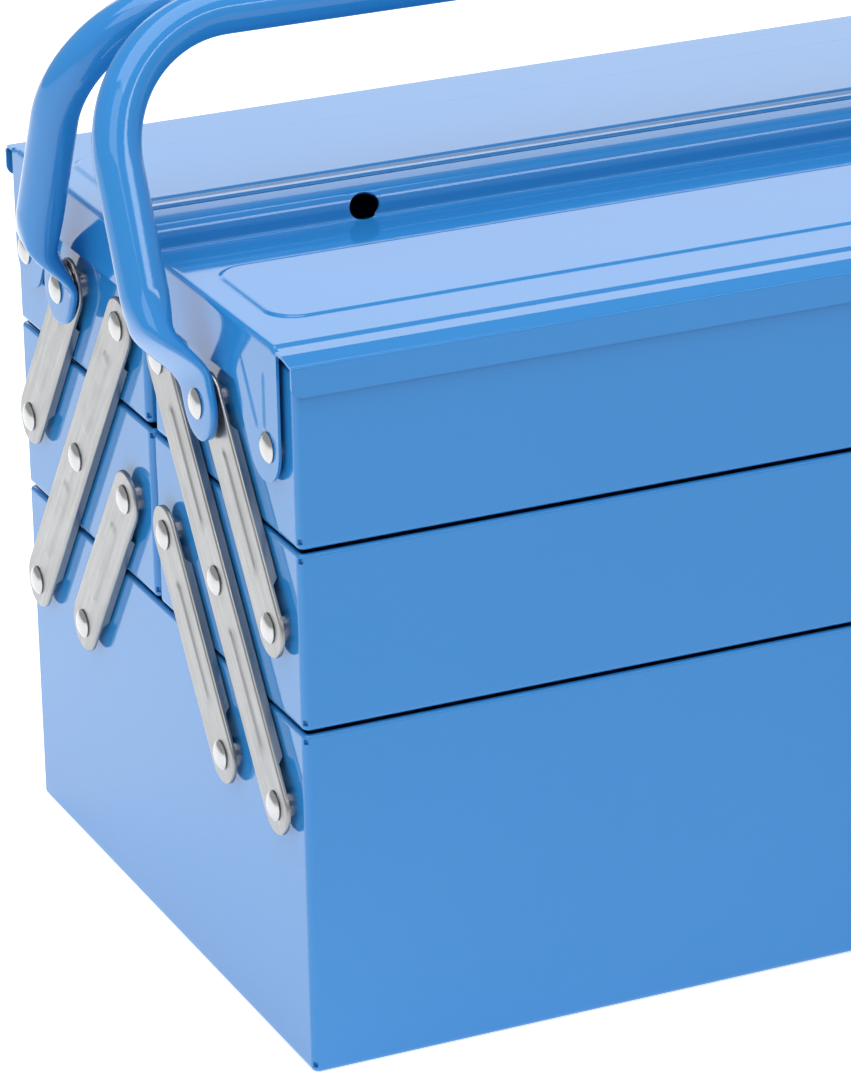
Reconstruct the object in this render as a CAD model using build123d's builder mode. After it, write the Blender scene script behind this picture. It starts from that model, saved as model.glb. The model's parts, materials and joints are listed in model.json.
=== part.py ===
"""Five-tray cantilever toolbox in folded sheet steel, shown closed.

The front half is modelled and mirrored to the rear; each left-hand link is mirrored to the right.
+X runs along the length, +Y to the rear, +Z up. The origin is the middle of the bottom face.
Depths marked "own" are measured inwards from the outer face of the half that a piece belongs to.
"""
from build123d import *
import math
import os

# box and trays (mm)
length = 430.0
width = 200.0
sheet = 1.0
corner_radius = 2.2
bottom_radius = 1.2
hem_depth = 8.0
hem_thickness = 2.0
hem_radius = 0.6
tray_pitch = 50.0
tray_gap = 1.0
box_height = 97.0
middle_seam = 1.6
top_seam = 5.0
top_tray_rim = 196.0

# linkage, as own depth and height of the pivots
outer_column = 13.5
column_step = 36.0
lower_pivots = 73.0
link_width = 16.0
link_sheet = 1.2
link_stand_off = 2.2
flange_sheet = 1.0
flange_stand_off = 0.7
flange_end_gap = 10.0
bead_width = 5.6
bead_height = 0.5
bead_end_gap = 13.0
bead_taper = 45

# rivets; tapers in degrees
shank_radius = 2.5
running_clearance = 0.05
shoulder_radius = 4.0
head_radius = 4.6
head_height = 1.1
head_taper = 40
tail_height = 1.2
axial_play = 0.1

# lids
lid_overhang = 2.2
ear_stand_off = 1.2
ear_pivot = (13.0, 172.5)
ear_tip_centre = (16.0, 172.5)
ear_tip_radius = 10.0
ear_edge = 6.0
ear_inner_depth = 34.0
flange_low = 184.0
lip_depth = -1.8
lip_bottom = 190.0
lip_top = 198.3
ledge_depth = 2.4
ledge_end = 8.2
ledge_drop = 0.6
step_run = 1.4
lid_top = 200.9
riser_depth = 89.5
ridge_top = 209.6
ridge_gap = 0.8
panel_margin_end = 6.0
panel_front = 25.0
panel_back = 70.0
panel_corner = 9.0
panel_rise = 0.5
panel_taper = 45
padlock_hole_radius = 4.0
padlock_hole_x = -155.7
padlock_hole_height = 205.2

# handles
handle_tube = 13.0
handle_wall = 1.2
handle_lean = 25.2
handle_reach = 100.0
handle_bend = 37.0
handle_leg_x = length / 2 + 15.0
handle_plate_stand_off = 4.4
handle_plate_thickness = 2.4
handle_plate_radius = 10.0
handle_plate_length = 12.0
crank_end = 34.0
crank_sections = (
    # reach from the pivot, offset outwards from the plate's middle, half width across, half thickness
    (26.0, 7.4, 7.8, 5.0),
    (17.0, 1.2, 9.6, 2.2),
    (10.0, 0.0, 9.9, 1.15),
)
washer_radius = 6.5

link_rise = tray_pitch
link_span = math.hypot(column_step, link_rise)
link_outer = link_stand_off + link_sheet
middle_z = (box_height + tray_gap, box_height + tray_pitch)
top_z = (middle_z[1] + tray_gap, top_tray_rim)

# pivots as (own depth, height): long link A-B-C, lower short link D-E, upper short link F-G
pivot_a = (outer_column, lower_pivots)
pivot_b = (outer_column + column_step, lower_pivots + link_rise)
pivot_c = (outer_column + 2 * column_step, lower_pivots + 2 * link_rise)
pivot_d = (outer_column + column_step, lower_pivots)
pivot_e = (outer_column + 2 * column_step, lower_pivots + link_rise)
pivot_f = (outer_column, lower_pivots + link_rise)
pivot_g = (outer_column + column_step, lower_pivots + 2 * link_rise)


def front_y(depth):
    """Row Y of an own depth in the front half."""
    return depth - width / 2


def wall_points(pivots):
    """Own-depth pivots as points of an end wall, for a sketch on Plane.YZ."""
    return [(front_y(depth), height) for depth, height in pivots]


def make_tray(depth_range, z_range, wall_pivots):
    """Open pan of folded sheet: rounded corners, hemmed rim and rivet holes in both end walls."""
    y_low, y_high = depth_range
    z_low, z_high = z_range
    depth = y_high - y_low
    middle = (y_low + y_high) / 2
    with BuildPart() as tray:
        with BuildSketch(Plane.XY.offset(z_low)):
            with Locations((0, middle)):
                RectangleRounded(length, depth, corner_radius)
        extrude(amount=z_high - z_low)
        fillet(tray.faces().sort_by(Axis.Z)[0].edges(), bottom_radius)
        with BuildSketch(Plane.XY.offset(z_low + sheet)):
            with Locations((0, middle)):
                RectangleRounded(length - 2 * sheet, depth - 2 * sheet, corner_radius - sheet)
        extrude(amount=z_high - z_low, mode=Mode.SUBTRACT)
        with BuildSketch(Plane.XY.offset(z_high - hem_depth)):
            with Locations((0, middle)):
                RectangleRounded(length - sheet, depth - sheet, corner_radius - sheet / 2)
                RectangleRounded(
                    length - 2 * hem_thickness,
                    depth - 2 * hem_thickness,
                    corner_radius - hem_thickness,
                    mode=Mode.SUBTRACT,
                )
        extrude(amount=hem_depth)
        fillet(tray.faces().sort_by(Axis.Z)[-1].edges(), hem_radius)
        with BuildSketch(Plane.YZ.offset(-length / 2 - sheet)):
            with Locations(*wall_pivots):
                Circle(shank_radius + running_clearance)
        extrude(amount=length + 2 * sheet, mode=Mode.SUBTRACT)
    return tray.part


def make_link(first_pivot, pivot_count):
    """Pressed steel channel at the left end: flat rounded ends, side flanges and raised beads."""
    span = (pivot_count - 1) * link_span
    along = (0, column_step / link_span, link_rise / link_span)
    plane = Plane(
        origin=(-length / 2, front_y(first_pivot[0]), first_pivot[1]), x_dir=along, z_dir=(-1, 0, 0)
    )
    flange_length = span - 2 * flange_end_gap
    bead_length = link_span - 2 * bead_end_gap
    with BuildPart() as link:
        with BuildSketch(plane.offset(link_stand_off)):
            with Locations((span / 2, 0)):
                SlotCenterToCenter(span, link_width)
        extrude(amount=link_sheet)
        with BuildSketch(plane.offset(flange_stand_off)):
            for side in (-1, 1):
                with Locations((span / 2, side * (link_width - flange_sheet) / 2)):
                    Rectangle(flange_length, flange_sheet)
        extrude(amount=link_stand_off - flange_stand_off + link_sheet / 2)
        with BuildSketch(plane.offset(link_outer)):
            for number in range(pivot_count - 1):
                with Locations(((number + 0.5) * link_span, 0)):
                    SlotOverall(bead_length, bead_width)
        extrude(amount=bead_height, taper=bead_taper)
        with BuildSketch(plane.offset(link_stand_off - sheet)):
            for number in range(pivot_count):
                with Locations((number * link_span, 0)):
                    Circle(shank_radius + running_clearance)
        extrude(amount=link_sheet + 2 * sheet, mode=Mode.SUBTRACT)
    return link.part


def make_rivets(pivots, shoulder_length, grip_end):
    """Shouldered rivets through both end walls; grip_end is how far out the head's underside is."""
    wall = length / 2
    shoulder_end = shoulder_length - axial_play
    with BuildPart() as rivets:
        for depth, height in pivots:
            seat = Plane(
                origin=(-wall, front_y(depth), height), x_dir=(0, 1, 0), z_dir=(-1, 0, 0)
            )
            with BuildSketch(seat):
                Circle(shoulder_radius)
            extrude(amount=shoulder_end)
            with BuildSketch(seat.offset(-sheet)):
                Circle(shank_radius)
            extrude(amount=sheet + grip_end)
            with BuildSketch(seat.offset(grip_end)):
                Circle(head_radius)
            extrude(amount=head_height, taper=head_taper)
            with BuildSketch(seat.offset(-sheet - tail_height)):
                Circle(shoulder_radius)
            extrude(amount=tail_height)
        mirror(about=Plane.YZ)
    return rivets.part


def make_washers(pivot):
    """One flat washer at each end, between the upper link and the handle's flattened end."""
    inner = link_outer + axial_play
    outer = handle_plate_stand_off - axial_play
    with BuildPart() as washers:
        seat = Plane(
            origin=(-length / 2 - inner, front_y(pivot[0]), pivot[1]), x_dir=(0, 1, 0), z_dir=(-1, 0, 0)
        )
        with BuildSketch(seat):
            Circle(washer_radius)
            Circle(shank_radius + running_clearance, mode=Mode.SUBTRACT)
        extrude(amount=outer - inner)
        mirror(about=Plane.YZ)
    return washers.part


def make_lid():
    """Lid of one top tray: outer lip, slanted band, ledge, plate, riser and half of the ridge."""
    end = length / 2 + lid_overhang
    flange_high = lid_top - sheet
    with BuildPart() as lid:
        with BuildSketch(Plane.YZ.offset(-end)):
            with BuildLine():
                Polyline(
                    (front_y(lip_depth), lip_bottom),
                    (front_y(lip_depth), lip_top),
                    (front_y(ledge_depth), lid_top - ledge_drop),
                    (front_y(ledge_end), lid_top - ledge_drop),
                    (front_y(ledge_end + step_run), lid_top),
                    (front_y(riser_depth), lid_top),
                    (front_y(riser_depth), ridge_top),
                    (-ridge_gap / 2, ridge_top),
                )
                offset(amount=sheet, side=Side.RIGHT)
            make_face()
        extrude(amount=2 * end)
        with BuildSketch(Plane.XY.offset(lid_top)):
            with Locations((0, front_y((panel_front + panel_back) / 2))):
                RectangleRounded(length - 2 * panel_margin_end, panel_back - panel_front, panel_corner)
        extrude(amount=panel_rise, taper=panel_taper)
        # the lip stops short of the ears, flush with the tray's end walls
        for side in (-1, 1):
            with BuildSketch(Plane.YZ.offset(side * (length / 2 + lid_overhang / 2))):
                with Locations((front_y(lip_depth), (lip_bottom + lip_top) / 2)):
                    Rectangle(2 * (ledge_depth - lip_depth), lip_top - lip_bottom + 3 * sheet)
            extrude(amount=lid_overhang / 2, both=True, mode=Mode.SUBTRACT)
        for side in (-1, 1):
            inner_face = side * (length / 2 + ear_stand_off)
            with BuildSketch(Plane.YZ.offset(inner_face)):
                with Locations((front_y(ear_tip_centre[0]), ear_tip_centre[1])):
                    Circle(ear_tip_radius)
                with BuildLine():
                    Polyline(
                        (front_y(ear_edge), flange_low),
                        (front_y(ear_inner_depth), flange_low),
                        (front_y(ear_inner_depth), flange_high),
                        (front_y(ear_edge), flange_high),
                        close=True,
                    )
                make_hull()
                with Locations((front_y((ear_edge + riser_depth) / 2), (flange_low + flange_high) / 2)):
                    Rectangle(riser_depth - ear_edge, flange_high - flange_low)
            extrude(amount=side * (lid_overhang - ear_stand_off))
        with BuildSketch(Plane.YZ.offset(-end)):
            with Locations((front_y(ear_pivot[0]), ear_pivot[1])):
                Circle(shank_radius + running_clearance)
        extrude(amount=2 * end, mode=Mode.SUBTRACT)
        with BuildSketch(Plane.XZ.offset(width / 2 - riser_depth + 2 * sheet)):
            with Locations((padlock_hole_x, padlock_hole_height)):
                Circle(padlock_hole_radius)
        extrude(amount=-4 * sheet, mode=Mode.SUBTRACT)
    return lid.part


def make_handle():
    """Tube bent to a U, cranked outwards at both legs and flattened round its pivots."""
    lean = math.radians(handle_lean)
    up_leg = (0, math.sin(lean), math.cos(lean))
    pivot = (0, front_y(pivot_g[0]), pivot_g[1])
    frame = Plane(origin=pivot, x_dir=(1, 0, 0), z_dir=(0, -math.cos(lean), math.sin(lean)))
    plate_middle = length / 2 + handle_plate_stand_off + handle_plate_thickness / 2
    with BuildPart() as handle:
        with BuildLine() as path:
            corners = [
                frame.from_local_coords((x, reach))
                for x, reach in (
                    (-handle_leg_x, crank_end),
                    (-handle_leg_x, handle_reach),
                    (handle_leg_x, handle_reach),
                    (handle_leg_x, crank_end),
                )
            ]
            FilletPolyline(*corners, radius=handle_bend)
        leg_plane = Plane(
            origin=frame.from_local_coords((-handle_leg_x, crank_end)), x_dir=(1, 0, 0), z_dir=up_leg
        )
        with BuildSketch(leg_plane):
            Circle(handle_tube / 2)
            Circle(handle_tube / 2 - handle_wall, mode=Mode.SUBTRACT)
        sweep(path=path.line)
        # the tube's section turns into the flat plate
        tube_end = (crank_end, handle_leg_x - plate_middle, handle_tube / 2, handle_tube / 2)
        for side in (-1, 1):
            for reach, outwards, across, through in (tube_end, *crank_sections):
                section = Plane(
                    origin=frame.from_local_coords((side * (plate_middle + outwards), reach)),
                    x_dir=(1, 0, 0),
                    z_dir=up_leg,
                )
                with BuildSketch(section):
                    Ellipse(through, across)
            loft()
            plate = Plane(
                origin=(side * (length / 2 + handle_plate_stand_off), pivot[1], pivot[2]),
                x_dir=up_leg,
                z_dir=(side, 0, 0),
            )
            with BuildSketch(plate):
                Circle(handle_plate_radius)
                with Locations((handle_plate_length / 2, 0)):
                    Rectangle(handle_plate_length, 2 * handle_plate_radius)
            extrude(amount=handle_plate_thickness)
            with BuildSketch(plate):
                Circle(shank_radius + running_clearance)
            extrude(amount=handle_plate_thickness, mode=Mode.SUBTRACT)
    return handle.part


def save(part, name):
    part.label = name
    export_step(part, f"parts/{name}.step")


os.makedirs("parts", exist_ok=True)

half_width = width / 2
box_pivots = [pivot_a, pivot_d]
middle_pivots = [pivot_b, pivot_e, pivot_f]
top_pivots = [pivot_c, pivot_g, ear_pivot]
box_holes = wall_points(box_pivots)
box_holes += [(-y, z) for y, z in box_holes]

front_parts = {
    "middle_tray": make_tray((-half_width, -middle_seam / 2), middle_z, wall_points(middle_pivots)),
    "top_tray": make_tray((-half_width, -top_seam / 2), top_z, wall_points(top_pivots)),
    "lid": make_lid(),
    "handle": make_handle(),
    "middle_tray_rivets": make_rivets(middle_pivots, link_stand_off, link_outer + axial_play),
    "top_tray_rivets": make_rivets([pivot_c], link_stand_off, link_outer + axial_play),
    "handle_rivets": make_rivets(
        [pivot_g], link_stand_off, handle_plate_stand_off + handle_plate_thickness + axial_play
    ),
    "lid_rivets": make_rivets([ear_pivot], ear_stand_off, lid_overhang + axial_play),
    "handle_washers": make_washers(pivot_g),
}
left_links = {
    "long_link": make_link(pivot_a, 3),
    "lower_link": make_link(pivot_d, 2),
    "upper_link": make_link(pivot_f, 2),
}

save(make_tray((-half_width, half_width), (0, box_height), box_holes), "bottom_box")
box_rivets = make_rivets(box_pivots, link_stand_off, link_outer + axial_play)
save(Compound(children=[*box_rivets.solids(), *mirror(box_rivets, about=Plane.XZ).solids()]), "box_rivets")
for name, part in front_parts.items():
    save(mirror(part, about=Plane.XZ), f"rear_{name}")
    save(part, f"front_{name}")
for name, part in left_links.items():
    right = mirror(part, about=Plane.YZ)
    save(mirror(part, about=Plane.XZ), f"rear_left_{name}")
    save(mirror(right, about=Plane.XZ), f"rear_right_{name}")
    save(right, f"front_right_{name}")
    save(part, f"front_left_{name}")
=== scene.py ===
import json
import math

import bpy
import numpy as np
from mathutils import Matrix, Vector


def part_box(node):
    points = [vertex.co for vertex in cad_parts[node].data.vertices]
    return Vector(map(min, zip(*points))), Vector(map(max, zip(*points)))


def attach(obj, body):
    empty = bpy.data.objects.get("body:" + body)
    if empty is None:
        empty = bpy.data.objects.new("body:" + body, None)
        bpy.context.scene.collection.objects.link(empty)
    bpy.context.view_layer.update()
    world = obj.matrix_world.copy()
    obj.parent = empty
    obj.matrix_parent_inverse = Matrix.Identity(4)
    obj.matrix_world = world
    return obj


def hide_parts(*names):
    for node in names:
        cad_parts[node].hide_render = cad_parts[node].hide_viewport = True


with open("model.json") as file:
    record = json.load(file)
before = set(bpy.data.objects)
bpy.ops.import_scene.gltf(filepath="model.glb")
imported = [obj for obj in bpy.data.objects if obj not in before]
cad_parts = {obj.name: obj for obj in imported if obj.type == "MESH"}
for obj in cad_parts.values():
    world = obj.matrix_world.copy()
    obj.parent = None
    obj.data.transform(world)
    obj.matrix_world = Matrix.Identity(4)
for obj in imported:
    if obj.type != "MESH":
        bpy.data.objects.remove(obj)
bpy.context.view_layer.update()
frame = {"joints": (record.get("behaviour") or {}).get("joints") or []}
print("stage: frame loaded")

# Lengths are in millimetres until a mesh is made. +X runs along the box, +Y to the rear, +Z up.
# A point's own depth is measured inwards from the outer face of the half it belongs to.
mm = 0.001
sides = ("front", "rear")
leftAndRight = (-1, 1)


def nodeBox(node):
    # lowest and highest corner of a node, in millimetres
    low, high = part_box(node)
    return np.array(low) / mm, np.array(high) / mm


halfLength, halfWidth = nodeBox("bottom_box")[1][:2]


def rowY(side, depth):
    # row Y of an own depth in the front or the rear half
    return (depth - halfWidth) if side == "front" else (halfWidth - depth)


jointAt = {joint["name"]: np.array(joint["pos_m"]) / mm for joint in frame["joints"]}


def pivot(jointName):
    # own depth and height of a joint of either half, read from the front one
    place = jointAt["front_" + jointName]
    return np.array([place[1] + halfWidth, place[2]])


pivotA = pivot("open")
pivotB = pivot("middle_tray_level")
pivotC = pivot("top_tray_level")
pivotD = pivot("lower_links_swing")
pivotF = pivot("upper_links_swing")
pivotG = pivot("handle_fold")
pivotE = pivotD + pivotB - pivotA
pivotEar = pivot("lid_lift")


# Every piece is one or more grids of points, joined where they meet.

def gridFaces(rows, columns, closeRows=False, closeColumns=False, keep=None):
    # quads between neighbouring rows and columns of a grid, wrapping round where asked
    i = np.arange(rows if closeRows else rows - 1)
    j = np.arange(columns if closeColumns else columns - 1)
    i, j = np.meshgrid(i, j, indexing="ij")
    if keep is not None:
        i, j = i[keep], j[keep]
    iNext, jNext = (i + 1) % rows, (j + 1) % columns
    corners = (i * columns + j, iNext * columns + j, iNext * columns + jNext, i * columns + jNext)
    return np.stack([c.ravel() for c in corners], axis=-1)


def signedVolume(points, faces):
    # six times the volume inside a closed surface; negative when its faces point inwards
    a, b, c, d = (points[faces[:, k]] for k in range(4))
    return np.einsum("ij,ij->", a, np.cross(b, c) + np.cross(c, d))


def vertexNormals(points, faces):
    # each vertex's normal: the sum of its faces' normals, each as long as the face is large
    a, b, c, d = (points[faces[:, k]] for k in range(4))
    normals = np.cross(c - a, d - b)
    total = np.zeros_like(points)
    for k in range(4):
        np.add.at(total, faces[:, k], normals)
    length = np.linalg.norm(total, axis=1, keepdims=True)
    return total / np.maximum(length, 1e-12)


def weld(points, faces, distance=0.004):
    # points that fall in one small cell become one; faces and points that are left empty go
    keys = np.round(points / distance).astype(np.int64)
    _, first, back = np.unique(keys, axis=0, return_index=True, return_inverse=True)
    points, faces = points[first], back.ravel()[faces]
    same = [faces[:, k] == faces[:, (k + 1) % 4] for k in range(4)]
    crossed = (faces[:, 0] == faces[:, 2]) | (faces[:, 1] == faces[:, 3])
    faces = faces[(np.sum(same, axis=0) < 2) & ~crossed]
    used, back = np.unique(faces, return_inverse=True)
    return points[used], back.reshape(faces.shape)


def thicken(points, faces, thickness):
    # the same surface moved inwards along its normals, and a rim of quads round every open edge
    normals = vertexNormals(points, faces)
    count = len(points)
    inner = points - normals * thickness
    starts, ends = faces.ravel(), np.roll(faces, -1, axis=1).ravel()
    real = starts != ends
    starts, ends = starts[real], ends[real]
    forward = starts.astype(np.int64) * count + ends
    backward = ends.astype(np.int64) * count + starts
    isOpen = ~np.isin(forward, backward)
    starts, ends = starts[isOpen], ends[isOpen]
    rim = np.stack([ends, starts, starts + count, ends + count], axis=-1)
    return np.concatenate([points, inner]), np.concatenate([faces, faces[:, ::-1] + count, rim])


def together(parts):
    # several (points, faces) as one, each part's faces counted on from the points before it
    offsets = np.cumsum([0] + [len(points) for points, _ in parts])
    faces = [faces + offset for (_, faces), offset in zip(parts, offsets)]
    return np.concatenate([points for points, _ in parts]), np.concatenate(faces)


def facingOut(points, faces):
    return (points, faces[:, ::-1]) if signedVolume(points, faces) < 0 else (points, faces)


def makePiece(name, parts, material, body, node, sharpAngle=34.0):
    # one object from a list of (points, faces); faces with a doubled corner become triangles
    points, faces = together([facingOut(*part) for part in parts])
    points = points * mm
    same = faces == np.roll(faces, -1, axis=1)
    triangles = same.any(axis=1)
    turn = np.argmax(same[triangles], axis=1)
    ring = (turn[:, None] + np.arange(1, 4)) % 4
    quads = faces[~triangles]
    tris = np.take_along_axis(faces[triangles], ring, axis=1)
    corners = np.concatenate([quads.ravel(), tris.ravel()]).astype(np.int32)
    sizes = np.concatenate([np.full(len(quads), 4), np.full(len(tris), 3)])
    mesh = bpy.data.meshes.new(name)
    mesh.vertices.add(len(points))
    mesh.vertices.foreach_set("co", points.ravel())
    mesh.loops.add(len(corners))
    mesh.loops.foreach_set("vertex_index", corners)
    mesh.polygons.add(len(sizes))
    mesh.polygons.foreach_set("loop_start", (np.cumsum(sizes) - sizes).astype(np.int32))
    mesh.update(calc_edges=True)
    mesh.validate()
    mesh.shade_smooth()
    mesh.set_sharp_from_angle(angle=math.radians(sharpAngle))
    mesh.materials.append(material)
    piece = bpy.data.objects.new(name, mesh)
    bpy.context.scene.collection.objects.link(piece)
    weighted = piece.modifiers.new("flatFaces", "WEIGHTED_NORMAL")
    weighted.keep_sharp = True
    weighted.weight = 80
    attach(piece, body)
    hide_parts(node)


def smooth(t):
    # eases from 0 to 1 as t does, level at both ends
    t = np.clip(t, 0.0, 1.0)
    return t * t * (3.0 - 2.0 * t)


def arc(centre, radius, start, end, steps):
    # points of an arc in a plane, from one angle to the other in degrees
    angle = np.radians(np.linspace(start, end, steps + 1))
    return np.stack([centre[0] + radius * np.cos(angle), centre[1] + radius * np.sin(angle)], axis=-1)


def roundedLine(corners, radii, step=15.0):
    # a line through the corners, with each corner turned into an arc of its radius
    corners = [np.array(c, float) for c in corners]
    out = [corners[0][None]]
    for before, corner, after, radius in zip(corners, corners[1:], corners[2:], radii):
        u = (before - corner) / np.linalg.norm(before - corner)
        v = (after - corner) / np.linalg.norm(after - corner)
        halfTurn = math.acos(np.clip(np.dot(u, v), -1.0, 1.0)) / 2.0
        reach = radius / math.tan(halfTurn)
        middle = corner + (u + v) / np.linalg.norm(u + v) * radius / math.sin(halfTurn)
        first, last = corner + u * reach - middle, corner + v * reach - middle
        sweep = math.pi - 2.0 * halfTurn
        steps = max(2, int(math.degrees(sweep) / step))
        side = np.sign(first[0] * last[1] - first[1] * last[0])
        angle = math.atan2(first[1], first[0]) + side * np.linspace(0.0, sweep, steps + 1)
        out.append(middle + radius * np.stack([np.cos(angle), np.sin(angle)], axis=-1))
    out.append(corners[-1][None])
    return np.concatenate(out)


# Finishes: effects are node groups, and shaders stay in each material.

def newGroup(name, inputs, outputs):
    # an empty group with its named inputs and outputs
    group = bpy.data.node_groups.new(name, "ShaderNodeTree")
    for label, kind, value in inputs:
        socket = group.interface.new_socket(label, in_out="INPUT", socket_type=kind)
        socket.default_value = value
    for label, kind in outputs:
        group.interface.new_socket(label, in_out="OUTPUT", socket_type=kind)
    return group, group.nodes.new("NodeGroupInput"), group.nodes.new("NodeGroupOutput")


def orangePeelGroup():
    # the fine ripple that sprayed gloss paint dries with, as a height, and a slow drift of tone
    group, source, sink = newGroup(
        "orangePeel",
        [("Vector", "NodeSocketVector", (0.0, 0.0, 0.0)), ("Ripple Scale", "NodeSocketFloat", 400.0),
         ("Drift Scale", "NodeSocketFloat", 9.0)],
        [("Height", "NodeSocketFloat"), ("Drift", "NodeSocketFloat")])
    ripple = group.nodes.new("ShaderNodeTexNoise")
    ripple.inputs["Detail"].default_value = 1.5
    drift = group.nodes.new("ShaderNodeTexNoise")
    drift.inputs["Detail"].default_value = 3.0
    for noise, scale, output in ((ripple, "Ripple Scale", "Height"), (drift, "Drift Scale", "Drift")):
        group.links.new(source.outputs["Vector"], noise.inputs["Vector"])
        group.links.new(source.outputs[scale], noise.inputs["Scale"])
        group.links.new(noise.outputs["Fac"], sink.inputs[output])
    return group


def metalStreakGroup():
    # rolling streaks and cloudy patches of plated sheet: noise squeezed along one direction
    group, source, sink = newGroup(
        "metalStreaks",
        [("Vector", "NodeSocketVector", (0.0, 0.0, 0.0)), ("Stretch", "NodeSocketVector", (1.0, 1.0, 0.06)),
         ("Streak Scale", "NodeSocketFloat", 900.0), ("Cloud Scale", "NodeSocketFloat", 90.0)],
        [("Streaks", "NodeSocketFloat"), ("Clouds", "NodeSocketFloat")])
    squeeze = group.nodes.new("ShaderNodeVectorMath")
    squeeze.operation = "MULTIPLY"
    streaks = group.nodes.new("ShaderNodeTexNoise")
    streaks.inputs["Detail"].default_value = 4.0
    clouds = group.nodes.new("ShaderNodeTexNoise")
    clouds.inputs["Detail"].default_value = 5.0
    clouds.inputs["Roughness"].default_value = 0.62
    group.links.new(source.outputs["Vector"], squeeze.inputs[0])
    group.links.new(source.outputs["Stretch"], squeeze.inputs[1])
    group.links.new(squeeze.outputs[0], streaks.inputs["Vector"])
    group.links.new(source.outputs["Streak Scale"], streaks.inputs["Scale"])
    group.links.new(source.outputs["Vector"], clouds.inputs["Vector"])
    group.links.new(source.outputs["Cloud Scale"], clouds.inputs["Scale"])
    group.links.new(streaks.outputs["Fac"], sink.inputs["Streaks"])
    group.links.new(clouds.outputs["Fac"], sink.inputs["Clouds"])
    return group


def newMaterial(name):
    # a node material, and the parts of it that the makers below use
    material = bpy.data.materials.new(name)
    material.use_nodes = True
    tree = material.node_tree
    return material, tree.nodes, tree.links, tree.nodes["Principled BSDF"]


def spread(nodes, links, value, low, high):
    # maps a noise value, which mostly lies between 0.3 and 0.7, onto low..high
    node = nodes.new("ShaderNodeMapRange")
    node.inputs["From Min"].default_value = 0.3
    node.inputs["From Max"].default_value = 0.7
    node.inputs["To Min"].default_value = low
    node.inputs["To Max"].default_value = high
    links.new(value, node.inputs["Value"])
    return node.outputs["Result"]


def blendColours(nodes, links, value, first, second):
    # the first colour where the value is 0, the second where it is 1
    node = nodes.new("ShaderNodeMix")
    node.data_type = "RGBA"
    node.inputs["A"].default_value = (*first, 1.0)
    node.inputs["B"].default_value = (*second, 1.0)
    links.new(value, node.inputs["Factor"])
    return node.outputs["Result"]


def addBump(nodes, links, shader, height, distance, strength):
    # small relief from a height, on the shader's normal
    bump = nodes.new("ShaderNodeBump")
    bump.inputs["Distance"].default_value = distance
    bump.inputs["Strength"].default_value = strength
    links.new(height, bump.inputs["Height"])
    links.new(bump.outputs["Normal"], shader.inputs["Normal"])


paint = dict(
    colour=(0.020, 0.198, 0.515), paler=(0.025, 0.214, 0.545), gloss=1.5,
    roughness=(0.055, 0.085), rippleScale=330.0, rippleDepth=0.00004, rippleStrength=0.16)


def makePaint():
    # sprayed gloss enamel, with a slow drift of tone and the fine ripple it dries with
    material, nodes, links, shader = newMaterial("blueGlossPaint")
    place = nodes.new("ShaderNodeTexCoord").outputs["Object"]
    peel = nodes.new("ShaderNodeGroup")
    peel.node_tree = orangePeel
    peel.inputs["Ripple Scale"].default_value = paint["rippleScale"]
    links.new(place, peel.inputs["Vector"])
    tone = blendColours(nodes, links, peel.outputs["Drift"], paint["colour"], paint["paler"])
    links.new(tone, shader.inputs["Base Color"])
    links.new(spread(nodes, links, peel.outputs["Drift"], *paint["roughness"]), shader.inputs["Roughness"])
    addBump(nodes, links, shader, peel.outputs["Height"], paint["rippleDepth"], paint["rippleStrength"])
    shader.inputs["IOR"].default_value = paint["gloss"]
    return material


zinc = dict(
    dull=(0.25, 0.255, 0.26), bright=(0.38, 0.385, 0.385), roughness=(0.26, 0.42), grainDepth=0.00003,
    grainStrength=0.25)


def makeZinc(name, lean):
    # plated sheet whose rolling streaks run along a link that leans by this angle from upright
    material, nodes, links, shader = newMaterial(name)
    place = nodes.new("ShaderNodeTexCoord").outputs["Object"]
    turn = nodes.new("ShaderNodeMapping")
    turn.inputs["Rotation"].default_value = (lean, 0.0, 0.0)
    links.new(place, turn.inputs["Vector"])
    streaks = nodes.new("ShaderNodeGroup")
    streaks.node_tree = metalStreaks
    links.new(turn.outputs["Vector"], streaks.inputs["Vector"])
    links.new(blendColours(nodes, links, streaks.outputs["Clouds"], zinc["dull"], zinc["bright"]),
              shader.inputs["Base Color"])
    rough = spread(nodes, links, streaks.outputs["Streaks"], *zinc["roughness"])
    links.new(rough, shader.inputs["Roughness"])
    addBump(nodes, links, shader, streaks.outputs["Streaks"], zinc["grainDepth"], zinc["grainStrength"])
    shader.inputs["Metallic"].default_value = 1.0
    return material


steel = dict(
    dull=(0.42, 0.425, 0.43), bright=(0.53, 0.54, 0.545), roughness=(0.16, 0.30), cloudScale=350.0,
    grainDepth=0.00002, grainStrength=0.2)


def makeSteel():
    # bright rivet steel, cloudy all round, with no run of its own
    material, nodes, links, shader = newMaterial("rivetSteel")
    place = nodes.new("ShaderNodeTexCoord").outputs["Object"]
    streaks = nodes.new("ShaderNodeGroup")
    streaks.node_tree = metalStreaks
    streaks.inputs["Stretch"].default_value = (1.0, 1.0, 1.0)
    streaks.inputs["Cloud Scale"].default_value = steel["cloudScale"]
    links.new(place, streaks.inputs["Vector"])
    links.new(blendColours(nodes, links, streaks.outputs["Clouds"], steel["dull"], steel["bright"]),
              shader.inputs["Base Color"])
    rough = spread(nodes, links, streaks.outputs["Clouds"], *steel["roughness"])
    links.new(rough, shader.inputs["Roughness"])
    addBump(nodes, links, shader, streaks.outputs["Streaks"], steel["grainDepth"], steel["grainStrength"])
    shader.inputs["Metallic"].default_value = 1.0
    return material


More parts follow.
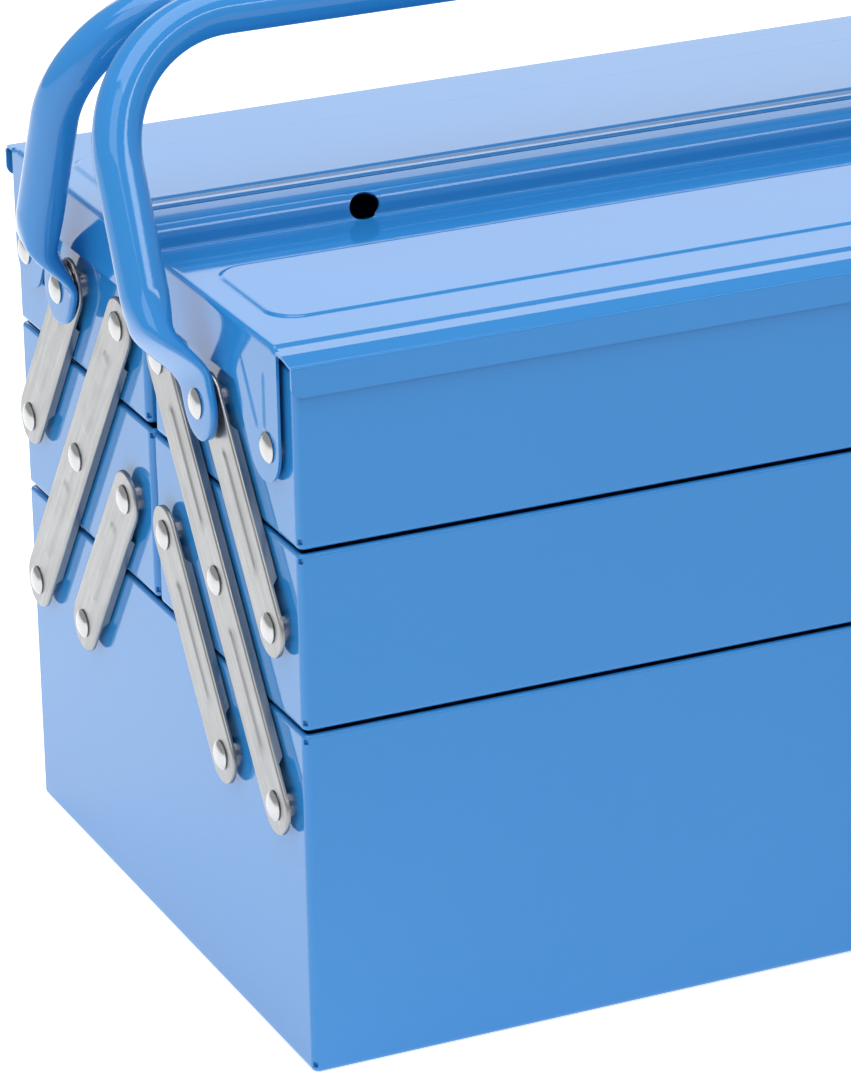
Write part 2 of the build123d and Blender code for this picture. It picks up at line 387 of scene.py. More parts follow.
orangePeel = orangePeelGroup()
metalStreaks = metalStreakGroup()
linkRise = pivotB - pivotA
linkLean = math.atan2(linkRise[0], linkRise[1])
bluePaint = makePaint()
rivetSteel = makeSteel()
zincFor = {"front": makeZinc("zincFrontLinks", linkLean), "rear": makeZinc("zincRearLinks", -linkLean)}
print("stage: finishes made")


# The box and the trays are folded pans with a hem rolled inwards round the rim. A relief is the small
# opening where two folds meet at a corner.
tray = dict(
    sheet=1.0, cornerRadius=2.2, bottomRadius=1.6, hemThickness=2.0, hemDepth=8.0, hemRadius=0.95,
    hemEndRadius=0.35, hemPlay=0.02, insideRadius=0.6, reliefDepth=0.95, reliefTall=1.5, reliefShare=0.32,
    reliefGap=0.1, reliefEdge=0.03, cornerSteps=10)


def reliefBottoms(height):
    # heights where the low and the high relief start, on a wall of this height
    lowest = tray["bottomRadius"] + tray["reliefGap"]
    highest = height - tray["hemRadius"] - tray["reliefGap"] - tray["reliefTall"]
    return lowest, highest


def trayProfile(height):
    # (inset from the outer face, height) all the way round the wall's section, from floor to floor
    r, hr, inner, er = (tray[key] for key in ("bottomRadius", "hemRadius", "sheet", "hemEndRadius"))
    outer = arc((r, r), r, 270, 180, 6)
    relief = [(0.0, z + edge) for start in reliefBottoms(height) for z in (start, start + tray["reliefTall"])
              for edge in (-tray["reliefEdge"], tray["reliefEdge"])]
    hem = np.concatenate([
        arc((hr, height - hr), hr, 180, 90, 6), arc((tray["hemThickness"] - hr, height - hr), hr, 90, 0, 6)])
    hemBottom = height - tray["hemDepth"]
    hemEnd = arc((tray["hemThickness"] - er, hemBottom + er), er, 0, -90, 4)
    hemInside = [(inner + tray["hemPlay"], hemBottom), (inner, hemBottom - 5 * tray["hemPlay"])]
    ir = tray["insideRadius"]
    inside = arc((inner + ir, inner + ir), ir, 180, 270, 4)
    return np.concatenate([outer, relief, hem, hemEnd, hemInside, inside])


def makeTray(node, body):
    # the wall's section carried round a rounded rectangle; both floors shrink to their middles
    low, high = nodeBox(node)
    middle, half = (low + high) / 2, (high - low) / 2
    radius = tray["cornerRadius"]
    profile = trayProfile(high[2] - low[2])
    inset, rise = profile[:, 0], profile[:, 1]
    arcSteps = tray["cornerSteps"]
    angle = np.radians(np.concatenate([np.linspace(a, a + 90, arcSteps + 1) for a in (0, 90, 180, 270)]))
    signX = np.repeat([1, -1, -1, 1], arcSteps + 1)
    signY = np.repeat([1, 1, -1, -1], arcSteps + 1)
    onArc = np.tile(np.linspace(0, 1, arcSteps + 1), 4)
    inRelief = np.zeros(len(profile), bool)
    for start in reliefBottoms(high[2] - low[2]):
        inRelief |= (inset == 0) & (rise > start) & (rise < start + tray["reliefTall"])
    dip = np.outer(np.abs(onArc - 0.5) < tray["reliefShare"] / 2, inRelief) * tray["reliefDepth"]
    left = radius - (inset[None, :] + dip)
    # inside a corner's centre the line stays square
    wayX = np.where(left > 0, np.cos(angle)[:, None], signX[:, None])
    wayY = np.where(left > 0, np.sin(angle)[:, None], signY[:, None])
    x = signX[:, None] * (half[0] - radius) + wayX * left
    y = signY[:, None] * (half[1] - radius) + wayY * left
    z = np.broadcast_to(rise, x.shape)
    points = np.stack([x + middle[0], y + middle[1], z + low[2]], axis=-1)
    under = np.broadcast_to([middle[0], middle[1], low[2]], (len(angle), 1, 3))
    floor = np.broadcast_to([middle[0], middle[1], low[2] + tray["sheet"]], (len(angle), 1, 3))
    points = np.concatenate([under, points, floor], axis=1)
    faces = gridFaces(points.shape[0], points.shape[1], closeRows=True)
    points, faces = weld(points.reshape(-1, 3), faces)
    makePiece(node + "_shell", [(points, faces)], bluePaint, body, node)


makeTray("bottom_box", "root")
for side in sides:
    for level in ("middle", "top"):
        makeTray(f"{side}_{level}_tray", f"{side}_{level}_tray")
print("stage: box and trays made")


# A link is a channel with low side flanges between its pivots and a pressed bead along each span.
link = dict(
    sheet=1.2, beadRise=0.5, beadWidth=5.6, beadSlope=1.1, beadEndGap=13.0, flangeEndGap=10.0, flangeFade=1.5,
    flangeSheet=1.0, bendRadius=0.8, bendShare=0.9, sharpAngle=50.0, lengthStep=0.9, endSteps=14,
    bendSteps=6, faceSteps=37, innerSteps=13)


def slotDistance(along, across, start, end):
    # distance from the middle line of a slot that runs from start to end
    beyond = np.maximum(np.maximum(start - along, along - end), 0.0)
    return np.hypot(beyond, across)


def makeLink(side, end, kind, first, count):
    # a channel's section, a closed loop, carried from one rounded end to the other
    node = f"{side}_{end}_{kind}_link"
    low, high = nodeBox(node)
    if end == "left":
        faceX, flangeX = low[0] + link["beadRise"], high[0]
    else:
        faceX, flangeX = high[0] - link["beadRise"], low[0]
    outwards = np.sign(faceX)
    pitch = np.linalg.norm(linkRise)
    span = pitch * (count - 1)
    # the link's box is as deep as its pivots are apart, plus its width
    width = (high[1] - low[1]) - abs(linkRise[0]) * (count - 1)
    halfWide = width / 2
    angle = np.linspace(0, np.pi / 2, link["endSteps"] + 1)
    straight = np.linspace(0, span, int(span / link["lengthStep"]) + 1)
    along = np.concatenate([-halfWide * np.cos(angle[:-1]), straight, span + halfWide * np.sin(angle[1:])])
    wide = np.sqrt(np.clip(halfWide**2 - np.clip(np.maximum(-along, along - span), 0, None)**2, 0, None))
    # the flanges fade in once they are clear of the pivots
    clear = np.minimum(along - link["flangeEndGap"], span - link["flangeEndGap"] - along)
    flange = (abs(faceX - flangeX) - link["sheet"]) * smooth(clear / link["flangeFade"] + 0.5)
    # section loop: outer face, outer bend, flange tip, inner bend, inner face, and back
    r = link["bendRadius"]
    bend = np.radians(np.linspace(0, 90, link["bendSteps"]))
    flat = np.linspace(-1, 1, link["faceSteps"])
    wideGrid = wide[:, None]
    depthGrid = flange[:, None] + link["sheet"]
    reach = np.maximum(wideGrid - r, 0.0)
    edge = np.minimum(wideGrid, r)
    outerAcross = reach * flat
    bead = np.zeros_like(outerAcross)
    for number in range(count - 1):
        start = number * pitch + link["beadEndGap"] + link["beadWidth"] / 2
        stop = (number + 1) * pitch - link["beadEndGap"] - link["beadWidth"] / 2
        away = slotDistance(along[:, None], outerAcross, start, stop)
        bead += link["beadRise"] * smooth((link["beadWidth"] / 2 - away) / link["beadSlope"])
    bendAcross = reach + edge * np.sin(bend)
    bendDrop = np.minimum(r, link["bendShare"] * depthGrid) * (1 - np.cos(bend))
    insideWide = np.maximum(wideGrid - link["flangeSheet"], 0)
    tipOuter = np.concatenate([wideGrid, insideWide], axis=1)
    tipDrop = np.broadcast_to(depthGrid, tipOuter.shape)
    innerAcross = insideWide * np.linspace(1, -1, link["innerSteps"])
    innerDrop = np.full(innerAcross.shape, link["sheet"])
    across = np.concatenate([
        outerAcross, bendAcross, tipOuter, innerAcross, -tipOuter[:, ::-1], -bendAcross[:, ::-1]], axis=1)
    drop = np.concatenate([
        -bead, bendDrop, tipDrop, innerDrop, tipDrop[:, ::-1], bendDrop[:, ::-1]], axis=1)
    unit = linkRise / pitch
    depth = first[0] + along[:, None] * unit[0] + across * unit[1]
    z = first[1] + along[:, None] * unit[1] - across * unit[0]
    points = np.stack([faceX - outwards * drop, rowY(side, depth), z], axis=-1)
    faces = gridFaces(points.shape[0], points.shape[1], closeColumns=True)
    points, faces = weld(points.reshape(-1, 3), faces)
    makePiece(node + "_channel", [(points, faces)], zincFor[side], f"{side}_{kind}_links", node,
              link["sharpAngle"])


for side in sides:
    for end in ("left", "right"):
        makeLink(side, end, "long", pivotA, 3)
        makeLink(side, end, "lower", pivotD, 2)
        makeLink(side, end, "upper", pivotF, 2)
print("stage: links made")


# A rivet has a domed head outside, a shoulder behind the piece it carries, and a tail inside the wall.
rivet = dict(
    headRadius=4.1, headHeight=1.1, headCrown=0.45, headEdge=0.3, shank=2.45, shoulder=4.0,
    tailRadius=4.0, tailHeight=1.2, rimUndercut=0.1, wall=1.0, shoulderPlay=0.1, turns=48,
    washerSheet=0.8, washerPlay=0.05, washerEdge=0.2)


def revolve(profile, y, z, end):
    # (distance out from the end wall, radius) turned about an axis along X through y, z
    turn = np.linspace(0, 2 * np.pi, rivet["turns"], endpoint=False)
    profile = np.array(profile)
    out, radius = profile[:, 0], profile[:, 1]
    x = np.broadcast_to(end * (halfLength + out), (len(turn), len(out)))
    points = np.stack([x, y + np.outer(np.cos(turn), radius), z + np.outer(np.sin(turn), radius)], axis=-1)
    faces = gridFaces(points.shape[0], points.shape[1], closeRows=True)
    return weld(points.reshape(-1, 3), faces)


def domeProfile(radius, height, edge, base, sign, steps=9):
    # a shallow dome that stands on a thin straight edge, from its apex to its rim
    fraction = np.linspace(0, 1, steps)
    bow = (height - edge) * (1 - fraction**3)
    return list(zip(base + sign * (edge + bow), radius * fraction))


def rivetProfile(headTop, underPiece):
    # the whole rivet from the head's apex, through the wall, to the tail's apex
    seat = headTop - rivet["headHeight"]
    crown = rivet["headHeight"] + rivet["headCrown"]
    head = domeProfile(rivet["headRadius"], crown, rivet["headEdge"], seat, 1)
    shank, shoulder, wall = (rivet[key] for key in ("shank", "shoulder", "wall"))
    tail = domeProfile(rivet["tailRadius"], rivet["tailHeight"], rivet["headEdge"], -wall, -1)
    shoulderEnd = underPiece - rivet["shoulderPlay"]
    headRim, tailRim = (rivet[key] - rivet["rimUndercut"] for key in ("headRadius", "tailRadius"))
    body = [(seat, headRim), (seat, shank), (shoulderEnd, shank), (shoulderEnd, shoulder), (0.0, shoulder),
            (0.0, shank), (-wall, shank), (-wall, tailRim)]
    return head + body + tail[::-1]


def makeRivets(node, body, places, underPiece, rivetSides):
    # one rivet for each place, at both ends of the box and on each of the sides named
    profile = rivetProfile(nodeBox(node)[1][0] - halfLength, underPiece)
    parts = [revolve(profile, rowY(side, depth), height, end)
             for depth, height in places for end in leftAndRight for side in rivetSides]
    makePiece(node + "_domed", parts, rivetSteel, body, node)


def makeWashers(side):
    # flat rings with eased edges, between the upper link and the handle's end
    node = side + "_handle_washers"
    low, high = nodeBox(node)
    outer, radius = high[0] - halfLength, (high[2] - low[2]) / 2
    hole, soft = rivet["shank"] + rivet["washerPlay"], rivet["washerEdge"]
    inner = outer - rivet["washerSheet"]
    profile = [(inner, hole), (inner, radius - soft), (inner + soft, radius), (outer - soft, radius),
               (outer, radius - soft), (outer, hole), (inner, hole)]
    parts = [revolve(profile, rowY(side, pivotG[0]), pivotG[1], end) for end in leftAndRight]
    makePiece(node + "_rings", parts, rivetSteel, f"{side}_top_tray", node)


linkUnder = nodeBox("front_right_long_link")[1][0] - link["beadRise"] - link["sheet"] - halfLength
lidLow, lidHigh = nodeBox("front_lid")
earUnder = lidHigh[0] - halfLength - rivet["wall"]
makeRivets("box_rivets", "root", [pivotA, pivotD], linkUnder, sides)
for side in sides:
    middleTray, topTray = f"{side}_middle_tray", f"{side}_top_tray"
    makeRivets(f"{side}_middle_tray_rivets", middleTray, [pivotB, pivotE, pivotF], linkUnder, [side])
    makeRivets(f"{side}_top_tray_rivets", topTray, [pivotC], linkUnder, [side])
    makeRivets(f"{side}_handle_rivets", topTray, [pivotG], linkUnder, [side])
    makeRivets(f"{side}_lid_rivets", topTray, [pivotEar], earUnder, [side])
    makeWashers(side)
print("stage: rivets and washers made")


# A handle is a tube bent to a U, cranked outwards near both pivots and flattened round them.
handle = dict(
    tubeRadius=6.5, lean=25.2, reach=100.0, bend=37.0, plateRadius=10.0, plateThickness=2.4, plateGap=0.1,
    crankStart=5.0, crankEnd=21.5, roundEnd=31.0, flatShare=3.0, sharpAngle=60.0, tipSteps=12,
    crankSteps=40, bendSteps=21, around=40)


def handleCentre():
    # stations along the bent tube: offset along X, reach up the lean, half width, half thickness
    h = handle
    legX = nodeBox("front_handle")[1][0] - h["tubeRadius"]
    headUnder = nodeBox("front_handle_rivets")[1][0] - rivet["headHeight"]
    plateX = headUnder - h["plateGap"] - h["plateThickness"] / 2
    tip = np.linspace(0, np.pi / 2, h["tipSteps"])
    tipReach = -h["plateRadius"] * np.cos(tip)
    crank = np.linspace(0, h["roundEnd"], h["crankSteps"])[1:]
    reach = np.concatenate([tipReach, crank, [h["reach"] - h["bend"]]])
    outward = smooth((reach - h["crankStart"]) / (h["crankEnd"] - h["crankStart"]))
    narrow = smooth((reach - h["crankStart"]) / (h["roundEnd"] - h["crankStart"]))
    x = plateX + (legX - plateX) * outward
    plateWide = np.sqrt(np.clip(h["plateRadius"]**2 - np.minimum(reach, 0)**2, 0, None))
    wide = plateWide + (h["tubeRadius"] - h["plateRadius"]) * narrow
    thick = h["plateThickness"] / 2 + (h["tubeRadius"] - h["plateThickness"] / 2) * narrow
    thick = np.minimum(thick, wide)
    bend = np.radians(np.linspace(0, 90, h["bendSteps"]))[1:]
    bendX = legX - h["bend"] * (1 - np.cos(bend))
    bendReach = h["reach"] - h["bend"] * (1 - np.sin(bend))
    tube = np.full(len(bend), h["tubeRadius"])
    leg = np.stack([x, reach, wide, thick], axis=-1)
    turn = np.stack([bendX, bendReach, tube, tube], axis=-1)
    half = np.concatenate([leg, turn])
    other = half[::-1] * [-1, 1, 1, 1]
    return np.concatenate([half, other])


def makeHandle(side):
    # a section that is a circle on the tube and a flat with round edges at the pivots, swept along it
    stations = handleCentre()
    line, wide, thick = stations[:, :2], stations[:, 2], stations[:, 3]
    tangent = np.gradient(line, axis=0)
    tangent /= np.linalg.norm(tangent, axis=1, keepdims=True)
    # near the flattened ends the section stays square to the leg
    legPart = (np.abs(tangent[:, 1]) > 0.5) & (line[:, 1] < handle["reach"] - handle["bend"])
    tangent[legPart] = np.sign(tangent[legPart]) * [0, 1]
    outwards = np.stack([tangent[:, 1], -tangent[:, 0]], axis=-1)
    around = np.linspace(0, 2 * np.pi, handle["around"], endpoint=False)
    flatPart = (wide - thick)[:, None] * np.clip(np.cos(around) * handle["flatShare"], -1, 1)
    across = flatPart + thick[:, None] * np.cos(around)
    through = thick[:, None] * np.sin(around)
    x = line[:, :1] + through * outwards[:, :1]
    reach = line[:, 1:] + through * outwards[:, 1:]
    lean = math.radians(handle["lean"])
    depth = pivotG[0] + reach * math.sin(lean) - across * math.cos(lean)
    z = pivotG[1] + reach * math.cos(lean) + across * math.sin(lean)
    points = np.stack([x, rowY(side, depth), z], axis=-1)
    faces = gridFaces(points.shape[0], points.shape[1], closeColumns=True)
    points, faces = weld(points.reshape(-1, 3), faces)
    node = side + "_handle"
    makePiece(node + "_tube", [(points, faces)], bluePaint, node, node, handle["sharpAngle"])


for side in sides:
    makeHandle(side)
print("stage: handles made")


# A lid is one bent sheet: lip, ledge, pressed panel, riser and ridge, with a flange and an ear at each end.
lid = dict(
    sheet=0.8, lipTop=198.3, lipHeight=8.3, lipCorner=3.0, lipShort=0.8,
    ledgeDepth=2.4, ledgeEnd=8.2, ledgeDrop=0.6, stepRun=1.4, top=200.9, riserDepth=89.5,
    ridgeFold=3.4, ridgeRise=0.8, ridgeGap=0.5, bendRadii=(1.1, 0.9, 0.9, 0.9, 1.2, 4.6, 0.9),
    endBend=1.4, flangeLow=184.0, flangeBackGap=0.9, earRadius=10.0, earTip=16.0, earEdge=6.0, earInner=34.0,
    panelEnd=6.0, panelFront=25.0, panelBack=70.0, panelCorner=9.0, panelRise=0.5, panelSlope=1.2,
    ribs=(((28.6, 190.5), (19.9, 176.3)), ((14.9, 190.9), (14.9, 177.5))), ribRadius=1.0, ribRise=0.4,
    holeX=-155.7, holeHeight=205.3, holeRadius=4.0, holeStretch=(1.1, 0.96), holeShare=0.75, holeCells=12,
    shapedStep=0.4, endStep=0.5, sharpAngle=40.0)
lidFront = halfWidth + lidLow[1]
lidInner = halfWidth + lidHigh[1] - lid["ridgeGap"]
lidEnd, lidTop = lidHigh[0], lidHigh[2]
flatEnd = lidEnd - lid["endBend"]        # where the plain sheet ends and the bend to the flange starts
lipEnd = lidEnd - lid["lipShort"]
holePatch = lid["holeRadius"] / lid["holeShare"]        # half the side of the square of sheet round the hole


def lidProfile():
    # the lid's outer line across the box in (own depth, height), from the lip's edge to the middle
    ledge = lid["top"] - lid["ledgeDrop"]
    corners = [
        (lidFront, lid["lipTop"] - lid["lipHeight"]), (lidFront, lid["lipTop"]), (lid["ledgeDepth"], ledge),
        (lid["ledgeEnd"], ledge), (lid["ledgeEnd"] + lid["stepRun"], lid["top"]),
        (lid["riserDepth"], lid["top"]), (lid["riserDepth"], lidTop - lid["ridgeRise"]), (lidInner, lidTop),
        (lidInner, lidTop - lid["ridgeFold"])]
    return roundedLine(corners, lid["bendRadii"])


def flangeEdge(depth):
    # height of the end flange's lower edge: level, but down round the ear's tip and up its slanted side
    tipDepth, tipHeight, radius = lid["earTip"], pivotEar[1], lid["earRadius"]
    bowl = tipHeight - np.sqrt(np.clip(radius**2 - (depth - tipDepth)**2, 0, None))
    # the slanted side is the tangent from the flange's inner corner to the tip's circle
    toTip = np.array([tipDepth - lid["earInner"], tipHeight - lid["flangeLow"]])
    gap = np.linalg.norm(toTip)
    swing = math.asin(radius / gap)
    heading = math.atan2(toTip[1], toTip[0]) + swing
    touchDepth = lid["earInner"] + math.sqrt(gap**2 - radius**2) * math.cos(heading)
    slant = lid["flangeLow"] + (depth - lid["earInner"]) * math.tan(heading)
    edge = np.where(depth < touchDepth, bowl, slant)
    return np.where(depth > lid["earInner"], lid["flangeLow"], edge)


section = lidProfile()
sectionRun = np.concatenate([[0], np.cumsum(np.linalg.norm(np.diff(section, axis=0), axis=1))])
onPlate = (section[:, 1] > lid["top"] - 1) & (section[:, 1] < lid["top"] + 1e-6)
onRiser = np.abs(section[:, 0] - lid["riserDepth"]) < 1e-6
holeRun = np.interp(lid["holeHeight"], section[onRiser, 1], sectionRun[onRiser])
patchLines = np.linspace(-holePatch, holePatch, 2 * lid["holeCells"] + 1)


def plateRun(depths):
    # how far along the section the plate's points of these depths lie
    return np.interp(depths, section[onPlate, 0], sectionRun[onPlate])


def lidRuns():
    # the grid's lines along the box, as runs along the section, close together where the sheet is shaped
    panelFront, panelBack, corner = (lid[key] for key in ("panelFront", "panelBack", "panelCorner"))
    step = lid["shapedStep"]
    depths = np.concatenate([
        [lid["earEdge"] - 0.3, lid["earEdge"]],
        np.arange(panelFront - lid["panelSlope"], panelFront + corner, step),
        np.arange(panelBack - corner, panelBack + lid["panelSlope"] + 0.1, step),
        lid["earTip"] - lid["earRadius"] * np.cos(np.linspace(0, np.pi / 2, 14)),
        np.arange(lid["earRadius"], lid["earInner"] + step / 2, step), np.linspace(36, 60, 7)])
    lipLines = np.linspace(0, lid["lipCorner"], 8)
    runs = np.concatenate([sectionRun, lipLines, plateRun(depths), holeRun + patchLines])
    runs = np.sort(runs[(runs >= 0) & (runs <= sectionRun[-1])])
    gaps = np.diff(runs, prepend=-1)
    inPatch = np.abs(runs - holeRun) < holePatch + 1e-6
    wanted = np.min(np.abs(runs[:, None] - (holeRun + patchLines)[None, :]), axis=1) < 1e-6
    return runs[(gaps > 0.02) & (~inPatch | wanted)]


def lidLines():
    # the grid's lines across the box, as X, close together near the ends and round the hole
    corner = np.arange(flatEnd - lid["panelEnd"] - lid["panelCorner"] - 4, flatEnd, lid["endStep"])
    tabs = lipEnd - lid["lipCorner"] + lid["lipCorner"] * np.sin(np.linspace(0, np.pi / 2, 7))
    ends = np.unique(np.round(np.concatenate([corner, tabs[tabs < flatEnd], [flatEnd]]), 3))
    middle = np.linspace(-ends[0], ends[0], 9)
    xs = np.concatenate([-ends[::-1], middle[1:-1], ends])
    nearHole = np.abs(xs - lid["holeX"]) < holePatch + 0.5
    return np.sort(np.concatenate([xs[~nearHole], lid["holeX"] + patchLines]))


def panelHeight(x, depth):
    # how far the pressed panel stands up: distance inside a rounded rectangle, eased over its slope
    middleDepth = (lid["panelFront"] + lid["panelBack"]) / 2
    halfDepth = (lid["panelBack"] - lid["panelFront"]) / 2
    r = lid["panelCorner"]
    pastX = np.abs(x) - (halfLength - lid["panelEnd"] - r)
    pastDepth = np.abs(depth - middleDepth) - (halfDepth - r)
    outside = np.hypot(np.maximum(pastX, 0), np.maximum(pastDepth, 0))
    away = outside + np.minimum(np.maximum(pastX, pastDepth), 0) - r
    return lid["panelRise"] * smooth(-away / lid["panelSlope"])


def openHole(x, run):
    # squares round the hole's middle become ovals, and ease back to squares at the patch's edge
    dx, dRun = x - lid["holeX"], run - holeRun
    size = np.maximum(np.abs(dx), np.abs(dRun)) / holePatch
    inside = size < 1.0 - 1e-9
    length = np.maximum(np.hypot(dx, dRun), 1e-9)
    ease = np.clip((size - lid["holeShare"]) / (1 - lid["holeShare"]), 0, 1)
    ovalX, ovalRun = (part / length * lid["holeRadius"] * stretch
                      for part, stretch in zip((dx, dRun), lid["holeStretch"]))
    newX = np.where(inside, lid["holeX"] + ovalX * (1 - ease) + dx * ease, x)
    newRun = np.where(inside, holeRun + ovalRun * (1 - ease) + dRun * ease, run)
    return newX, newRun, size


def lidSheet(runs, depth, height, inFlange):
    # the sheet between its ends, with a last line each side that reaches the plain ends
    cutBack = lid["lipCorner"] - np.sqrt(lid["lipCorner"]**2 - np.clip(lid["lipCorner"] - runs, 0, None)**2)
    slanted = np.interp(depth, [lidFront, lid["ledgeDepth"]], [lipEnd, lidEnd])
    endOf = np.where(height < lid["lipTop"], lipEnd - cutBack, slanted)
    x, run = np.meshgrid(np.concatenate([[-lidEnd], lidLines(), [lidEnd]]), runs, indexing="ij")
    x = np.sign(x) * np.minimum(np.abs(x), endOf[None, :])
    x, run, size = openHole(x, run)
    d = np.interp(run, sectionRun, section[:, 0])
    z = np.interp(run, sectionRun, section[:, 1]) + panelHeight(x, d) * inFlange[None, :]
    # the flange's own grid takes over beyond the bend, and the hole stays open
    keep = np.ones((x.shape[0] - 1, x.shape[1] - 1), bool)
    keep[[0, -1]] = ~(inFlange[:-1] & inFlange[1:])
    cellSize = np.max([size[:-1, :-1], size[1:, 1:], size[:-1, 1:], size[1:, :-1]], axis=0)
    keep &= cellSize > lid["holeShare"] + 1e-6
    return np.stack([x, d, z], axis=-1).reshape(-1, 3), gridFaces(*x.shape, keep=keep)


def lidFlange(depth, height, end):
    # one end: a quarter bend, then straight down to the flange's edge, with the pressed ribs standing out
    turn = np.radians(np.linspace(0, 90, 7))
    down = np.linspace(0, 1, 50)[1:]
    theta = np.concatenate([turn, np.full(len(down), np.pi / 2)])
    share = np.concatenate([np.zeros(len(turn)), down])
    straight = height - lid["endBend"] - flangeEdge(depth)
    z = height[None, :] - lid["endBend"] * (1 - np.cos(theta))[:, None] - share[:, None] * straight[None, :]
    d = np.broadcast_to(depth, z.shape)
    rib = np.zeros_like(z)
    for start, stop in np.array(lid["ribs"]):
        way = stop - start
        t = np.clip(((d - start[0]) * way[0] + (z - start[1]) * way[1]) / np.dot(way, way), 0, 1)
        away = np.hypot(d - start[0] - t * way[0], z - start[1] - t * way[1])
        rib = np.maximum(rib, lid["ribRise"] * smooth(1 - away / lid["ribRadius"]))
    x = end * (flatEnd + lid["endBend"] * np.sin(theta)[:, None] + rib)
    faces = gridFaces(*z.shape)
    return np.stack([x, d, z], axis=-1).reshape(-1, 3), faces[:, ::-1] if end < 0 else faces


def makeLid(side):
    # the sheet and its two end flanges, joined, then given their thickness inwards and below
    runs = lidRuns()
    depth, height = (np.interp(runs, sectionRun, section[:, k]) for k in range(2))
    backEdge = lid["riserDepth"] - lid["flangeBackGap"]
    inFlange = (depth >= lid["earEdge"] - 1e-6) & (depth <= backEdge)
    inFlange &= (height > lid["top"] - 0.7) & (height < lid["top"] + 0.01)
    flanges = [lidFlange(depth[inFlange], height[inFlange], end) for end in leftAndRight]
    points, faces = weld(*together([lidSheet(runs, depth, height, inFlange), *flanges]))
    if vertexNormals(points, faces)[:, 2].sum() < 0:
        faces = faces[:, ::-1]
    points, faces = thicken(points, faces, lid["sheet"])
    points[:, 1] = rowY(side, points[:, 1])
    node = side + "_lid"
    makePiece(node + "_sheet", [(points, faces)], bluePaint, node, node, lid["sharpAngle"])


for side in sides:
    makeLid(side)
print("stage: lids made")


# The studio: a pale floor that glows more strongly to the rear, a plain bright world and four soft panels.
# A panel's light is its strength for each unit of its area, and its places are in metres.
studio = dict(
    floorColour=(0.86, 0.86, 0.86), floorRoughness=0.9, floorSize=9.0, floorDrop=0.0001, floorSteps=41,
    floorGlow=0.22, floorRearGlow=0.76, glowWay=(-0.45, 0.89, 0.0), glowStart=-0.30, glowEnd=0.15,
    worldLight=0.54,
    panels=dict(
        rearPanel=dict(at=(0.95, 2.10, 1.04), size=(2.6, 1.0), light=1.25),
        topPanel=dict(at=(-0.25, -0.15, 1.15), size=(0.9, 0.9), light=2.9),
        frontPanel=dict(at=(-1.5, -1.5, 1.95), size=(1.5, 1.2), light=1.9),
        stripPanel=dict(at=(0.90, -2.0, 1.45), size=(2.6, 0.22), light=5.5)),
    sensor=36.0, lens=181.30, nearAndFar=(0.05, 60.0),
    cameraAt=(-704.4, -1274.6, 663.2), azimuth=24.063, pitch=21.934, roll=-1.185)
white = (1.0, 1.0, 1.0)


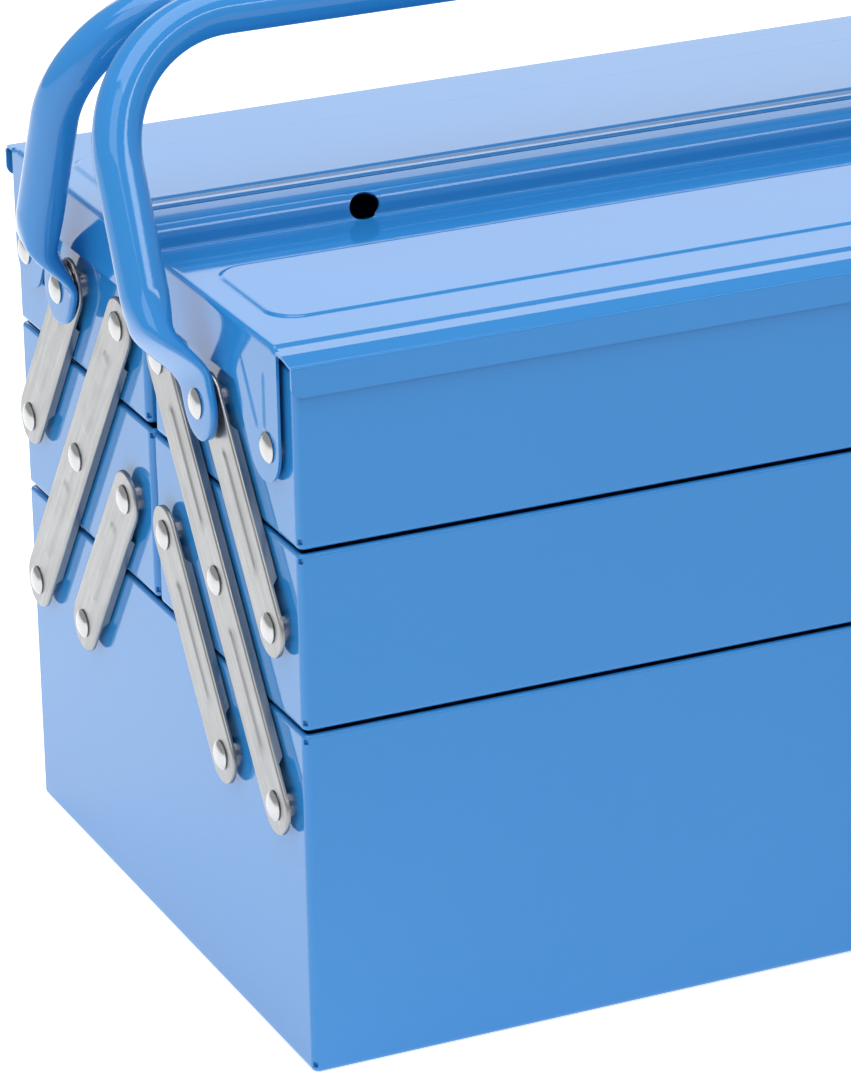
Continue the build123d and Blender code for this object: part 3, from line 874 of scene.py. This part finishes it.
def makeFloor():
    # one broad level sheet, a touch below the box's underside
    count = studio["floorSteps"]
    line = np.linspace(-0.5, 0.5, count) * studio["floorSize"]
    x, y = np.meshgrid(line, line, indexing="ij")
    points = np.stack([x, y, np.full_like(x, -studio["floorDrop"])], axis=-1).reshape(-1, 3)
    mesh = bpy.data.meshes.new("studioFloor")
    mesh.from_pydata(points.tolist(), [], gridFaces(count, count).tolist())
    mesh.update()
    material, nodes, links, shader = newMaterial("paleFloor")
    shader.inputs["Base Color"].default_value = (*studio["floorColour"], 1.0)
    shader.inputs["Roughness"].default_value = studio["floorRoughness"]
    shader.inputs["Emission Color"].default_value = (*white, 1.0)
    place = nodes.new("ShaderNodeTexCoord")
    toRear = nodes.new("ShaderNodeVectorMath")
    toRear.operation = "DOT_PRODUCT"
    toRear.inputs[1].default_value = studio["glowWay"]
    glow = nodes.new("ShaderNodeMapRange")
    glow.interpolation_type = "SMOOTHSTEP"
    for label, key in (("From Min", "glowStart"), ("From Max", "glowEnd"), ("To Min", "floorGlow"),
                       ("To Max", "floorRearGlow")):
        glow.inputs[label].default_value = studio[key]
    links.new(place.outputs["Object"], toRear.inputs[0])
    links.new(toRear.outputs["Value"], glow.inputs["Value"])
    links.new(glow.outputs["Result"], shader.inputs["Emission Strength"])
    mesh.materials.append(material)
    floor = bpy.data.objects.new("studioFloor", mesh)
    bpy.context.scene.collection.objects.link(floor)


def makeWorld():
    # even white light from all round
    world = bpy.data.worlds.new("whiteStudio")
    bpy.context.scene.world = world
    world.use_nodes = True
    background = world.node_tree.nodes["Background"]
    background.inputs["Color"].default_value = (*white, 1.0)
    background.inputs["Strength"].default_value = studio["worldLight"]


def makePanel(name, panel):
    # a soft light panel that faces the box
    data = bpy.data.lights.new(name, "AREA")
    data.shape = "RECTANGLE"
    data.size, data.size_y = panel["size"]
    data.energy = panel["light"] * math.pi * math.prod(panel["size"])
    lamp = bpy.data.objects.new(name, data)
    lamp.location = panel["at"]
    lamp.rotation_euler = (-Vector(panel["at"])).to_track_quat("-Z", "Y").to_euler()
    bpy.context.scene.collection.objects.link(lamp)


def makeCamera():
    # looks along its azimuth, counted from +Y towards +X, and down by its pitch, then rolls about that line
    az, pitch, roll = (math.radians(studio[key]) for key in ("azimuth", "pitch", "roll"))
    forward = Vector((math.sin(az) * math.cos(pitch), math.cos(az) * math.cos(pitch), -math.sin(pitch)))
    level = Vector((math.cos(az), -math.sin(az), 0.0))
    upright = level.cross(forward)
    right = level * math.cos(roll) + upright * math.sin(roll)
    up = upright * math.cos(roll) - level * math.sin(roll)
    data = bpy.data.cameras.new("studioCamera")
    data.sensor_fit = "AUTO"
    data.sensor_width = studio["sensor"]
    data.lens = studio["lens"]
    data.clip_start, data.clip_end = studio["nearAndFar"]
    camera = bpy.data.objects.new("studioCamera", data)
    turn = Matrix((right, up, -forward)).transposed().to_4x4()
    camera.matrix_world = Matrix.Translation(Vector(studio["cameraAt"]) * mm) @ turn
    bpy.context.scene.collection.objects.link(camera)
    bpy.context.scene.camera = camera


makeFloor()
makeWorld()
for name, panel in studio["panels"].items():
    makePanel(name, panel)
makeCamera()
bpy.context.scene.view_settings.view_transform = "Standard"
print("stage: studio made")
